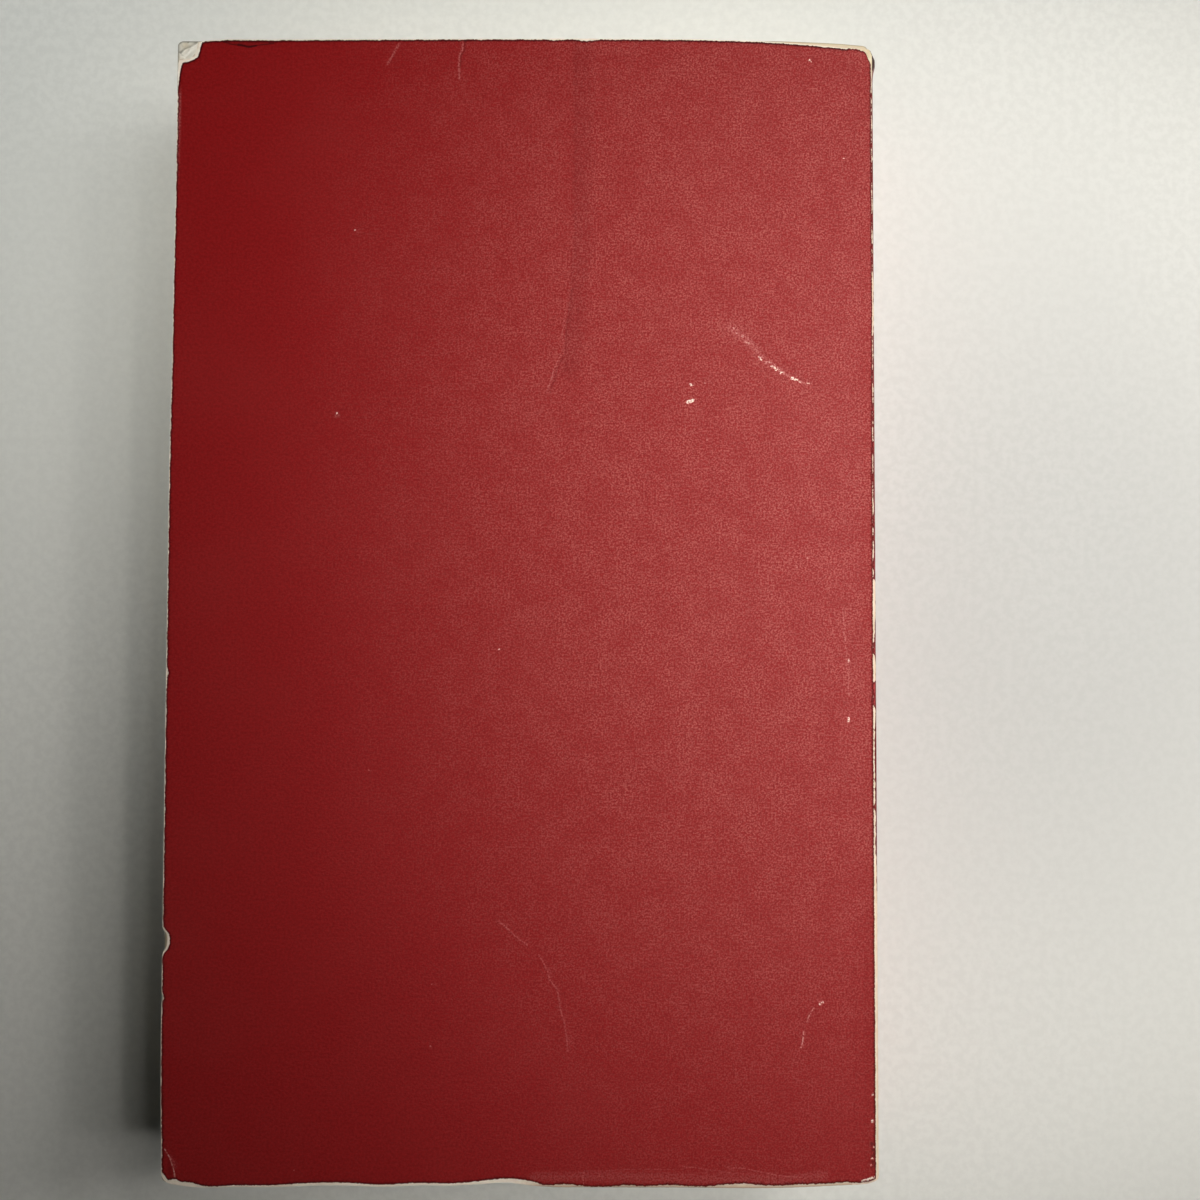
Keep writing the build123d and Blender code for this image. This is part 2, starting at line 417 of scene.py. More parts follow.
def triangulate(loop, inner):
    """Triangles that fill a loop and use the inner points."""
    points = np.vstack([loop, inner])
    result = delaunay_2d_cdt([Vector(p) for p in points.tolist()], [], [list(range(len(loop)))], 1, 1e-6)
    return np.array([tuple(v) for v in result[0]]), np.array(result[2])


def mark_guides(mark):
    """Points along, across and around a mark, so that a mesh can show it."""
    depths = mark.half_width * np.array([-1.5, -0.75, 0, 0.75, 1.5])
    points = inset_lines(mark.path, max(0.25, mark.half_width), depths)
    middle = points[2]
    for end in (middle[0], middle[-1]):
        for radius in (0.8, 1.6):
            turn = np.radians(np.arange(0, 360, 45))
            points.append(end + radius * mark.half_width * np.stack([np.cos(turn), np.sin(turn)], 1))
    return np.vstack(points)


def grid_points(low, high, step, seed):
    """Jittered grid points in a rectangle."""
    across, up = np.meshgrid(np.arange(low[0], high[0], step), np.arange(low[1], high[1], step))
    grid = np.stack([across.ravel(), up.ravel()], 1)
    return grid + np.random.default_rng(seed).uniform(-0.2, 0.2, grid.shape) * step


def inner_points(loop, step, seed, extra=(), clearance=0.12):
    """Jittered grid points inside a loop, with extra points where they are asked for."""
    points = np.vstack([grid_points(loop.min(0), loop.max(0), step, seed), *extra])
    points = points[inside_loop(points, loop)]
    return points[path_distance(points, np.vstack([loop, loop[:1]])) > clearance]


def inset_lines(path, step, depths):
    """Evenly spaced points along a path, set in to its left by each depth."""
    line = resample(path, step)
    along = np.gradient(line, axis=0)
    inward = np.stack([-along[:, 1], along[:, 0]], 1) / np.hypot(*along.T)[:, None]
    return [line + inward * depth for depth in depths]


def boundary_edges(triangles):
    """The directed edges that belong to one triangle only."""
    edges = np.vstack([triangles[:, [0, 1]], triangles[:, [1, 2]], triangles[:, [2, 0]]])
    count = edges.max() + 1
    return edges[~np.isin(edges @ [count, 1], edges @ [1, count])]


def card_mesh(name, flat, triangles, outer_z, thickness, outer_is_top, materials):
    """A card of even thickness: outer face in the first material, inner face and rim in the second."""
    count = len(flat)
    levels = (outer_z, outer_z - thickness) if outer_is_top else (outer_z + thickness, outer_z)
    vertices = np.vstack([np.column_stack([flat, z]) for z in levels])
    rim = boundary_edges(triangles)
    faces = [*triangles, *(triangles[:, ::-1] + count), *([a, a + count, b + count, b] for a, b in rim)]
    top_slot = 0 if outer_is_top else 1
    slots = [top_slot] * len(triangles) + [1 - top_slot] * len(triangles) + [1] * len(rim)
    made = new_mesh(name, vertices, faces, materials, slots)
    set_attribute(made, "flat_place", np.column_stack([np.tile(flat, (2, 1)), np.zeros(2 * count)]))
    return made


# Node trees

def node(tree, kind, inputs=None, **settings):
    """A shader node, with its settings and its inputs as numbers or links."""
    made = tree.nodes.new(kind)
    for key, value in settings.items():
        setattr(made, key, value)
    for key, value in (inputs or {}).items():
        if isinstance(value, bpy.types.NodeSocket):
            tree.links.new(value, made.inputs[key])
        else:
            made.inputs[key].default_value = value
    return made


def attribute(tree, name, output="Fac"):
    return node(tree, "ShaderNodeAttribute", attribute_name=name).outputs[output]


# A helper without a tree adds its node to the tree that its first socket belongs to

def noise(place, scale, roughness=0.55, detail=3.0, distortion=0.0):
    inputs = {"Vector": place, "Scale": scale, "Detail": detail, "Roughness": roughness}
    inputs["Distortion"] = distortion
    return node(place.id_data, "ShaderNodeTexNoise", inputs).outputs["Fac"]


def stretch(place, factors, turn=0.0):
    """The place, turned about Z and scaled along each axis."""
    inputs = {"Vector": place, "Scale": factors, "Rotation": (0, 0, turn)}
    return node(place.id_data, "ShaderNodeMapping", inputs).outputs["Vector"]


def object_place(tree):
    """The place on the object, in millimetres."""
    return stretch(node(tree, "ShaderNodeTexCoord").outputs["Object"], (1 / MM, 1 / MM, 1 / MM))


def distance(place, middle):
    inputs = {0: place, 1: middle}
    return node(place.id_data, "ShaderNodeVectorMath", inputs, operation="DISTANCE").outputs["Value"]


def ramp(value, low, high, start=0.0, end=1.0):
    """Turns value smoothly from start at low to end at high."""
    inputs = {"Value": value, "From Min": low, "From Max": high, "To Min": start, "To Max": end}
    made = node(value.id_data, "ShaderNodeMapRange", inputs, interpolation_type="SMOOTHSTEP")
    return made.outputs["Result"]


def calculate(operation, a, b):
    return node(a.id_data, "ShaderNodeMath", {0: a, 1: b}, operation=operation).outputs["Value"]


def product(a, b):
    return calculate("MULTIPLY", a, b)


def mix(factor, a, b, mode="MIX"):
    """Mixes two colours, each a socket or three numbers."""
    a, b = (colour if isinstance(colour, bpy.types.NodeSocket) else (*colour, 1.0) for colour in (a, b))
    inputs = {0: factor, 6: a, 7: b}
    return node(factor.id_data, "ShaderNodeMix", inputs, data_type="RGBA", blend_type=mode).outputs[2]


def bump(height, depth):
    return node(height.id_data, "ShaderNodeBump", {"Height": height, "Distance": depth}).outputs["Normal"]


def new_material(name):
    """An empty node material, its tree and its Principled shader."""
    material = bpy.data.materials.new(name)
    material.use_nodes = True
    tree = material.node_tree
    return material, tree, tree.nodes["Principled BSDF"]


def finish_material(shader, colour, roughness, normal):
    for name, socket in (("Base Color", colour), ("Roughness", roughness), ("Normal", normal)):
        shader.id_data.links.new(socket, shader.inputs[name])


INK = (0.262, 0.0052, 0.0064)
INK_DARK = (0.203, 0.0020, 0.0030)
# INK_LIGHT_AND_SHEEN lightens the ink in faint clouds, and as painted sheen in fibres and specks
INK_LIGHT_AND_SHEEN = (0.375, 0.076, 0.068)
# INK_SHADE_AND_GRIME darkens the ink with grime, and as painted shade in creases, dents and along edges
INK_SHADE_AND_GRIME = (0.050, 0.0010, 0.0018)
RUBBED_INK = (0.50, 0.16, 0.15)
CARD_CORE = (0.87, 0.77, 0.66)
CARD_GRIME = (0.56, 0.43, 0.32)
CARD_SOOT = (0.045, 0.020, 0.016)
CARD_INSIDE = (0.66, 0.61, 0.50)
LEAF = (0.74, 0.66, 0.53)
LEAF_PALE = (0.84, 0.80, 0.72)
LEAF_EDGE = (0.55, 0.42, 0.25)
LEAF_FOXING = (0.50, 0.33, 0.13)
LEAF_GAP_SHADE = (0.36, 0.28, 0.18)
LEAF_SHADE_AND_DIRT = (0.10, 0.095, 0.06)
GLUE = (0.70, 0.62, 0.44)
DESK = (0.735, 0.74, 0.715)
DESK_PAINTED_SHADE = (0.63, 0.63, 0.645)

# How old the bare card looks, from 0 for white to 1 for tan and 2 for black
FORE_AGE = 0.35
HEAD_AGE = 0.5
FOLD_AGE = 0.6
SOOT_FROM = 1.2
SOOT_AGE = 2.0

# Where the cover's face takes the most painted sheen: light fibres and specks in the ink, laid where
# the key light's sheen falls. The middle and the reach are measured on places that are drawn out by
# the stretch, so the patch is longer along the book than across it.
SHEEN_MIDDLE = (45.6, 20, 0)
SHEEN_STRETCH = (1.2, 0.62, 1.0)
SHEEN_REACH = 98
SHEEN_FULLY = 28

# The desk's painted shade: a dimmer patch by the spine
PAINTED_SHADE_MIDDLE = (92, 5, 0)
PAINTED_SHADE_REACH = 130
PAINTED_SHADE_FULLY = 10


def sooted(colour):
    """The colour, turned black where the card is older than tan.

    On worn card this is dirt; at the spine's flared corner it is only a darkening.
    """
    return mix(ramp(attribute(colour.id_data, "core_age"), SOOT_FROM, SOOT_AGE), colour, CARD_SOOT)


def bare_card(place):
    """The colour of bare card: white where it is newly torn, then tan, then black with dirt."""
    blotches = ramp(noise(place, 0.9), 0.35, 0.7, -0.12, 0.12)
    tan_share = ramp(calculate("ADD", blotches, attribute(place.id_data, "core_age")), 0.0, 1.0)
    return sooted(mix(tan_share, CARD_CORE, CARD_GRIME))


def red_card_material():
    """The cover's printed face: red ink with a fibrous grain, worn off where the margin runs out.

    Its light fibres and specks are painted sheen, and painted shade darkens it along the ink's edges
    and in creases and dents.
    """
    material, tree, shader = new_material("red_card")
    place = attribute(tree, "flat_place", "Vector")
    grain = noise(place, 2.4, 0.62)
    fine_grain = noise(place, 3.6, 0.6)
    clouds = noise(place, 0.05, 0.5)
    fibres = noise(stretch(place, (0.8, 3.0, 1.0), 0.5), 1.3, distortion=0.6)
    cross_fibres = noise(stretch(place, (2.8, 0.7, 1.0), 0.35), 1.4, distortion=0.6)

    ink = mix(ramp(grain, 0.34, 0.66), INK_DARK, INK)
    ink = mix(ramp(clouds, 0.4, 0.75, 0.0, 0.04), ink, INK_LIGHT_AND_SHEEN)
    blotches = noise(place, 0.22, 0.6)
    # Painted sheen: light fibres and specks laid where the key light's sheen falls on the cover
    away = distance(stretch(place, SHEEN_STRETCH), SHEEN_MIDDLE)
    painted_sheen = ramp(away, SHEEN_REACH, SHEEN_FULLY, 0.05, 0.97)
    painted_sheen = product(painted_sheen, ramp(blotches, 0.35, 0.65, 0.7, 1.2))
    streaks = ramp(calculate("MAXIMUM", fibres, cross_fibres), 0.54, 0.72, 0.0, 0.6)
    ink = mix(product(streaks, painted_sheen), ink, INK_LIGHT_AND_SHEEN)
    specks = ramp(fine_grain, 0.45, 0.64, 0.0, 0.9)
    ink = mix(product(specks, painted_sheen), ink, INK_LIGHT_AND_SHEEN)

    scuff = attribute(tree, "scuff")
    patchy = product(scuff, ramp(fine_grain, 0.4, 0.56, 0.35, 1.2))
    ink = mix(ramp(patchy, 0.0, 0.8), ink, RUBBED_INK)
    ink = mix(ramp(patchy, 0.5, 0.95), ink, CARD_CORE)
    # Below 0 the ink darkens: grime, and painted shade in creases and dents and along worn edges
    ink = mix(ramp(scuff, 0.0, -1.0), ink, INK_SHADE_AND_GRIME)
    ink = sooted(ink)

    margin = attribute(tree, "ink_margin")
    frayed = calculate("ADD", margin, ramp(grain, 0.25, 0.75, -0.07, 0.07))
    worn = ramp(frayed, 0.04, -0.04)
    # The rim is a painted shade line along the edge of the ink, where the printed face gives way to bare
    # card
    rim = calculate("MINIMUM", ramp(frayed, 0.42, 0.12), ramp(frayed, -0.07, 0.02))
    colour = mix(worn, ink, bare_card(place))
    colour = mix(product(rim, 0.75), colour, INK_SHADE_AND_GRIME)

    roughness = ramp(fine_grain, 0.38, 0.66, 0.67, 0.51)
    dull = calculate("MAXIMUM", worn, rim)
    roughness = calculate("ADD", roughness, product(dull, 0.35))
    height = calculate("ADD", grain, product(fibres, 0.7))
    height = calculate("SUBTRACT", height, product(worn, 0.6))
    finish_material(shader, colour, roughness, bump(height, 0.025 * MM))
    shader.inputs["Specular IOR Level"].default_value = 0.28
    return material


def card_core_material():
    """The card's unprinted inner face and its cut edges."""
    material, tree, shader = new_material("card_core")
    place = attribute(tree, "flat_place", "Vector")
    fibres = noise(place, 1.8, 0.6, 4.0)
    stains = noise(place, 0.05, 0.6, 4.0)
    colour = mix(ramp(fibres, 0.3, 0.7, 0.0, 0.5), CARD_INSIDE, bare_card(place))
    colour = mix(ramp(stains, 0.5, 0.75, 0.0, 0.5), colour, CARD_GRIME)
    roughness = ramp(fibres, 0.2, 0.8, 0.75, 0.92)
    finish_material(shader, sooted(colour), roughness, bump(fibres, 0.03 * MM))
    return material


def leaf_material():
    """Cream uncoated paper, browned towards the trimmed edges, with painted shade in the fine gaps between
    leaves, and painted shade and dirt where the mesh gives them.
    """
    material, tree, shader = new_material("leaf_paper")
    place = object_place(tree)
    fibres = noise(place, 2.2, 0.6, 4.0)
    lines = noise(stretch(place, (0.015, 0.015, 5.0)), 1.0, 0.6, 2.0)
    patches = noise(stretch(place, (0.012, 0.012, 0.3)), 1.0, 0.6)
    tone = attribute(tree, "edge_tone")
    side = attribute(tree, "side")
    foxing = ramp(noise(place, 0.35, 0.6), 0.62, 0.74, 0.0, 0.6)
    dirt = attribute(tree, "dirt")

    colour = mix(ramp(fibres, 0.3, 0.7, 0.0, 0.18), LEAF, LEAF_EDGE)
    colour = mix(product(tone, 0.75), colour, LEAF_EDGE)
    # Painted shade in the fine gaps between leaves on the block's sides
    colour = mix(product(side, ramp(lines, 0.35, 0.65, 0.0, 0.55)), colour, LEAF_GAP_SHADE)
    colour = mix(product(side, ramp(patches, 0.45, 0.7, 0.0, 0.25)), colour, LEAF_FOXING)
    colour = mix(product(foxing, tone), colour, LEAF_FOXING)
    colour = mix(ramp(tone, 0.0, -1.0), colour, LEAF_PALE)
    # Painted shade and dirt, as the mesh gives them
    colour = mix(dirt, colour, LEAF_SHADE_AND_DIRT)

    roughness = ramp(fibres, 0.2, 0.8, 0.8, 0.95)
    height = calculate("ADD", fibres, product(lines, side))
    finish_material(shader, colour, roughness, bump(height, 0.04 * MM))
    return material


def glue_material():
    """Dull yellowed hot-melt glue."""
    material, tree, shader = new_material("hot_melt")
    place = object_place(tree)
    lumps = noise(place, 0.9, 0.5)
    colour = mix(ramp(lumps, 0.3, 0.7), GLUE, LEAF_EDGE)
    roughness = ramp(lumps, 0.2, 0.8, 0.45, 0.65)
    finish_material(shader, colour, roughness, bump(lumps, 0.1 * MM))
    return material


def desk_material():
    """A pale desk top with a faint fine texture, and a painted shade that dims a wide patch by the spine.
    """
    material, tree, shader = new_material("desk")
    place = object_place(tree)
    speckle = noise(place, 0.7, 0.6)
    clouds = noise(place, 0.012, 0.5, 2.0)
    shade = tuple(0.93 * c for c in DESK)
    colour = mix(ramp(speckle, 0.35, 0.65), shade, DESK)
    colour = mix(ramp(clouds, 0.3, 0.7, 0.0, 0.5), colour, shade)
    # A painted shade dims the desk in a wide patch by the spine
    painted_shade = ramp(distance(place, PAINTED_SHADE_MIDDLE), PAINTED_SHADE_REACH, PAINTED_SHADE_FULLY)
    colour = mix(painted_shade, colour, DESK_PAINTED_SHADE, "MULTIPLY")
    roughness = ramp(speckle, 0.2, 0.8, 0.75, 0.85)
    finish_material(shader, colour, roughness, bump(speckle, 0.01 * MM))
    shader.inputs["Specular IOR Level"].default_value = 0.1
    return material


RED_CARD = red_card_material()
CARD_INNER = card_core_material()
PAPER = leaf_material()
HOT_MELT = glue_material()


# The pieces

def tail_age(x):
    """The age of the bare card along the tail: newly torn towards the fore-edge, older past it."""
    return np.interp(x, [-30, -10, -2, 3, 20, 54], [0.25, 0.0, 0.1, 0.6, 0.75, 0.6])


def make_back_cover():
    """The back flap: torn corner, nicked edges, creases and scratches."""
    sides = back_outline()
    loop = np.vstack(list(sides.values()))
    beyond = [(FORE - 1, TEAR_INK[-1][1]), (FORE - 1, HEAD + 1), (TEAR_INK[0][0], HEAD + 1)]
    torn = np.array(TEAR_INK + beyond)
    extra = [mark_guides(mark) for mark in BACK_MARKS + [Mark(TEAR_INK, 0.1)]]
    extra.append(grid_points((FORE, 80.5), (-50.3, HEAD), 0.2, 24))
    for side in ("tail", "head", "fore"):
        extra += inset_lines(sides[side], EDGE_STEP, (0.18, 0.45, 0.8))
    flat, triangles = triangulate(loop, inner_points(loop, GRID_STEP, 21, extra, 0.07))
    scuff, lift = mark_profile(flat)
    x, y = flat.T
    tear = path_distance(flat, TEAR_INK) * np.where(inside_loop(flat, torn), -1, 1)
    names = ("corner", "fore", "head", "tail", "tear")
    corner, fore, head, tail, torn_rim = (path_distance(flat, sides[name]) for name in names)
    edge = np.minimum.reduce([corner, fore, head, tail, torn_rim])

    fore_bare = 0.13 + 0.07 * waver(y, 5, 32)
    fore_bare += 0.25 * hump(y, FORE_NICK, 1.9, 4) + 0.28 * hump(y, -10.6, 0.6)
    head_bare = 0.17 + 0.05 * waver(x, 4.1, 33)
    head_bare += 0.2 * hump(x, 9.3, 1.4, 4) + 0.15 * hump(x, 4.2, 0.8)
    tail_bare = smooth_line(x, TAIL_BARE) + np.interp(x, [0, 8], [0.0, 0.07]) * waver(x, 1.3, 34)
    margin = np.minimum.reduce([tear, fore - fore_bare, head - head_bare, tail - tail_bare, corner - 0.42])
    rubbed_fore = np.interp(y, [62, 68, 75, 80, 82], [0, 0.3, 0.6, 0.6, 0.2])
    scuff = np.where(fore < 1, np.maximum(scuff, share(1.4 - fore / 0.55) * rubbed_fore), scuff)
    # The ink darkens in a painted shade line along the head and along the torn edge of the ink
    near_tear = hump(np.clip(tear, 0.1, None), 0.1, 0.22) * (tear < 1)
    scuff = scuff - 0.9 * np.maximum(hump(head, 0.18, 0.25), near_tear)

    ply = PLY_STEP * share(0.5 - tear / 0.12) * np.clip(1 - 0.3 * cloud(x, y, 0.9, 35), 0, 1.3)
    outer_z = TOP + np.clip(back_relief(x, y) + lift * flat_share(x) - edge_curl(edge) - ply, -0.26, -0.002)
    # The torn ply greys in mottled patches: ageing, and painted shade between its lumps
    torn_age_and_shade = np.clip(0.9 * cloud(x, y, 0.6, 39) - 1.2 * tear - 0.5, 0, 1.4)
    tail_dirt = hump(tail, 0, 0.2) * share(x / 4)
    age = np.where(tail < 2, tail_age(x) + tail_dirt, np.where(tear < 0.3, torn_age_and_shade, FORE_AGE))
    made = card_mesh("cover_back", flat, triangles, outer_z, CARD, True, [RED_CARD, CARD_INNER])
    set_card_values(made, core_age=age, scuff=scuff, ink_margin=margin)
    return made


def make_front_cover():
    """The front flap, which the book lies on: the same card with plain light wear."""
    fore_y = np.arange(HEAD - 1.6, COVER_TAIL + 1.6, -EDGE_STEP)
    fore = np.stack([FORE + 0.05 + 0.05 * waver(fore_y, 4.0, 41), fore_y], 1)
    tail_x = np.arange(FORE + CORNER_RADIUS, SEAM, EDGE_STEP)
    tail = np.stack([tail_x, COVER_TAIL + 0.08 + 0.06 * waver(tail_x, 5.0, 42)], 1)
    seam = seam_rows(PLAIN_TAIL, PLAIN_HEAD)
    head_x = np.arange(SEAM - EDGE_STEP, FORE + CORNER_RADIUS, -EDGE_STEP)
    head = np.stack([head_x, HEAD - 0.08 - 0.06 * waver(head_x, 5.0, 43)], 1)
    loop = np.vstack([tail, seam, head, fore])
    flat, triangles = triangulate(loop, inner_points(loop, 1.5, 22))
    x, y = flat.T
    edge = path_distance(flat, np.vstack([head, fore, tail]))
    margin = edge - 0.12 - 0.08 * waver(x + y, 4.7, 44)
    relief = 0.03 + 0.03 * cloud(x, y, 17, 45) + edge_curl(edge, 0.35)
    outer_z = np.clip(relief * share((SEAM - x) / 3), 0.0005, 0.14)
    made = card_mesh("cover_front", flat, triangles, outer_z, CARD, False, [RED_CARD, CARD_INNER])
    scuff = share(0.25 * cloud(x, y, 9, 46) - 0.05)
    set_card_values(made, core_age=np.full(len(flat), HEAD_AGE), scuff=scuff, ink_margin=margin)
    return made


STRIP_COLUMNS = 20


def spine_profile():
    """The spine cover's outer line, from the top score to the bottom one: places and normals."""
    middle = TOP / 2
    half = middle - FOLD_RADIUS

    def side(strip_count, turn_count, panel_count):
        places = [(x, TOP) for x in np.linspace(SEAM, FOLD_START, strip_count)]
        normals = [(0.0, 1.0)] * strip_count
        for turn in np.radians(np.linspace(90, 0, turn_count)[1:]):
            out = (math.cos(turn), math.sin(turn))
            places.append((FOLD - FOLD_RADIUS * (1 - out[0]), TOP - FOLD_RADIUS * (1 - out[1])))
            normals.append(out)
        for z in np.linspace(TOP - FOLD_RADIUS, middle, panel_count)[1:]:
            slope = 2 * SPINE_BULGE * (z - middle) / half**2
            places.append((FOLD + (SPINE_BULGE - 0.01) * (1 - ((z - middle) / half) ** 2), z))
            normals.append((1 / math.hypot(1, slope), slope / math.hypot(1, slope)))
        return np.array(places), np.array(normals)

    upper, upper_normals = side(STRIP_COLUMNS, 12, 12)
    lower, lower_normals = side(6, 8, 8)
    lower = np.array([0, TOP]) + lower[-2::-1] * [1, -1]
    lower_normals = lower_normals[-2::-1] * [1, -1]
    return np.vstack([upper, lower]), np.vstack([upper_normals, lower_normals])


# How wide the upper fold is worn through, from tail to head: place along Y and width
FOLD_WEAR = [
    (-88, 1.2), (-60, 1.1), (-46, 1), (-40, 0.4), (-24, 0.2), (-18.8, 0.45), (-15.7, 0.4),
    (-15, -0.1), (-12, -0.1), (-11.3, 0.7), (-7.9, 0.6), (-7, 0.2), (-2.5, 0.2), (-2, 0.9), (3.6, 0.9),
    (4.5, 0.12), (30, 0.08), (42, 0.12), (43, 0.5), (50.5, 0.45), (52, 0.1), (70, 0.15), (80, 0.2),
    (83.5, 0.3), (84.5, 1),
]

# Where the band starts along the fold's turn, from tail to head, and how far past that it has aged
FOLD_WEAR_START = [(-20, 0.16), (17, 0.28), (48, 0.44)]
FOLD_WEAR_END = 2.4

# How far the worn ends of the spine panel reach down from the upper fold
WORN_END_DEPTH = 2.4

# Where the spine panel bulges out at its worn corner by the head, where its card is darkened to near black
FLARE = 0.75
FLARE_LOW = 83.8
FLARE_HIGH = 87.3
FLARE_DEPTH = 2.4


def fold_margin(y, along, around):
    """How far each point lies outside the worn band along the upper fold."""
    place, width = np.array(FOLD_WEAR).T
    ragged = 0.15 * waver(y, 6.1, 51) + 0.2 * cloud(y, 0 * y + along, 0.7, 52)
    return np.maximum(-around, around - np.interp(y, place, width) - ragged)


def spine_flare(y, z):
    """How far the spine panel bulges out at its worn corner by the head."""
    start, full = TOP - 0.6 * FOLD_RADIUS, TOP - FLARE_DEPTH
    down = share((start - z) / (start - full))
    back = share(1 - (full - z) / 3.0)
    along = share((y - FLARE_LOW) / 1.5) * share((FLARE_HIGH - y) / 0.8)
    return FLARE * np.minimum(down, back) ** 1.2 * along


def thick_grid(name, outer, inner, materials):
    """A sheet between two grids of points: outer face in the first material, the rest in the second."""
    rows, columns = outer.shape[:2]
    total = rows * columns
    index = np.arange(total).reshape(rows, columns)
    corners = [index[:-1, :-1], index[:-1, 1:], index[1:, 1:], index[1:, :-1]]
    outer_faces = np.stack(corners, -1).reshape(-1, 4)
    inner_faces = outer_faces[:, ::-1] + total
    border = np.concatenate([index[0, ::-1], index[1:, 0], index[-1, 1:], index[-2:0:-1, -1]])
    following = np.roll(border, -1)
    rim = np.stack([border, following, following + total, border + total], 1)
    vertices = np.vstack([outer.reshape(-1, 3), inner.reshape(-1, 3)])
    slots = [0] * len(outer_faces) + [1] * (len(inner_faces) + len(rim))
    return new_mesh(name, vertices, np.vstack([outer_faces, inner_faces, rim]), materials, slots)


def make_spine_cover():
    """The spine panel with its two folds and glued strips, worn through along the upper fold."""
    places, normals = spine_profile()
    steps = np.hypot(*np.diff(places, axis=0).T)
    along = np.concatenate([[0], np.cumsum(steps)])
    x, z = places.T
    upper = z > TOP / 2
    worn_end = 1 - share((TOP - FOLD_RADIUS - z) / WORN_END_DEPTH)
    low = PLAIN_TAIL + worn_end * (tail_edge(np.minimum(x, FOLD)) - PLAIN_TAIL)
    high = PLAIN_HEAD + worn_end * (head_edge(np.minimum(x, FOLD)) - PLAIN_HEAD)
    y = low + row_shares()[:, None] * (high - low)
    place_x = np.broadcast_to(x, y.shape)

    turn_start = along[STRIP_COLUMNS - 1]
    wear_start = np.interp(y, *np.array(FOLD_WEAR_START).T)
    around = along - turn_start - wear_start - 0.04 * waver(y, 7.3, 55)
    other_fold = along[-1] - turn_start / 2
    other_margin = np.abs(along - other_fold) - 0.05 - 0.15 * waver(y, 3.7, 53)
    head_bare = np.where(upper, 0.1, 0.12) + 0.08 * waver(along * 3, 1.7, 54)
    tail_bare = np.where(upper, smooth_line(x, TAIL_BARE), 0.1)
    ends_margin = np.minimum(y - low - tail_bare, high - y - head_bare)
    margin = np.minimum.reduce([fold_margin(y, along, around), other_margin, ends_margin])

    on_strip = upper & (z > TOP - 1e-6)
    marks, _ = mark_profile(np.stack([place_x.ravel(), y.ravel()], 1))
    # Past the worn band the fold's ink darkens with painted shade, fading out down the spine panel
    past_wear = (upper & (along > turn_start)) * share((around - 0.25) / 0.2)
    past_wear = past_wear * share((z - TOP + 7) / 5)
    scuff = marks.reshape(y.shape) * on_strip - 0.55 * past_wear
    age = np.where(y > 0, HEAD_AGE, tail_age(place_x))
    darkened = 0.5 * share(around) + 0.5 * share((around - 0.8) / 0.3)
    fold_age = FOLD_AGE + darkened * share((FOLD_WEAR_END - around) / 0.8)
    age = np.where(along > turn_start, fold_age, age)
    # The flared corner by the head is darkened to near black
    blackened = (upper & (along > turn_start + 1.0)) * share((y - FLARE_LOW) / 0.3)
    blackened = blackened * share((z - TOP + 6) / 2)
    age = age + blackened * (SOOT_AGE - age)

    relief = on_strip * back_relief(place_x, y)
    pits = 0.05 * share(-margin / 0.3)
    curl = edge_curl(np.minimum(y - low, high - y))
    strip_share = share((x - SEAM) / (FOLD_START - SEAM))
    drift = np.interp(y, [COVER_TAIL, HEAD], FOLD_DRIFT) * strip_share * (2 * np.abs(z / TOP - 0.5)) ** 2
    shift = np.clip(relief - pits - curl, -0.2, -0.002)
    outer_x = x + shift * normals[:, 0] + drift + spine_flare(y, z)
    outer = np.stack([np.minimum(outer_x, SPINE - 0.003), y, z + shift * normals[:, 1]], -1)
    inner = outer - CARD * np.stack([normals[:, 0], 0 * x, normals[:, 1]], -1)
    made = thick_grid("cover_spine", outer, inner, [RED_CARD, CARD_INNER])
    flat = np.stack([np.broadcast_to(SEAM + along, y.shape), y, 0 * y], -1)
    set_attribute(made, "flat_place", np.tile(flat.reshape(-1, 3), (2, 1)))
    set_card_values(made, core_age=age, scuff=scuff, ink_margin=margin)
    return made


# How far the glue is worn back at its corner by the head, and from where
GLUE_WORN = 1.0
GLUE_WORN_FROM = 53.3
GLUE_WORN_RUN = 0.75


def make_glue():
    """The spine glue, rounded off at the head, where the cover over it has worn away."""
    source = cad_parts["spine_glue"]
    vertices = np.array([source.matrix_world @ vertex.co for vertex in source.data.vertices]) / MM
    at_head = vertices[:, 1] > vertices[:, 1].max() - 0.05
    worn = share((vertices[:, 0] - GLUE_WORN_FROM) / GLUE_WORN_RUN) ** 1.5
    vertices[:, 1] -= GLUE_WORN * worn * at_head
    faces = [list(polygon.vertices) for polygon in source.data.polygons]
    return new_mesh("glue", vertices, faces, [HOT_MELT], smooth_angle=30)


# The leaves

LEAF_COUNT = 200
TOP_LEAF_GAP = 0.16
LEAF_HOLLOW = 0.5

# How many leaves shift together, their share of each leaf's shift, and the share of paper in the stack
BUNDLE = 8
BUNDLE_SHARE = 0.35
PAPER_SHARE = 0.9

# The worn head and tail of the last leaves, and how deep into the block that wear reaches
LEAF_HEAD = [(-54.5, 88.13), (28, 88.2), (36, 88.66), (44, 88.52), (50.5, 88.2), (54, 87.85)]
LEAF_TAIL = -88.0
WEAR_REACH = 2.5


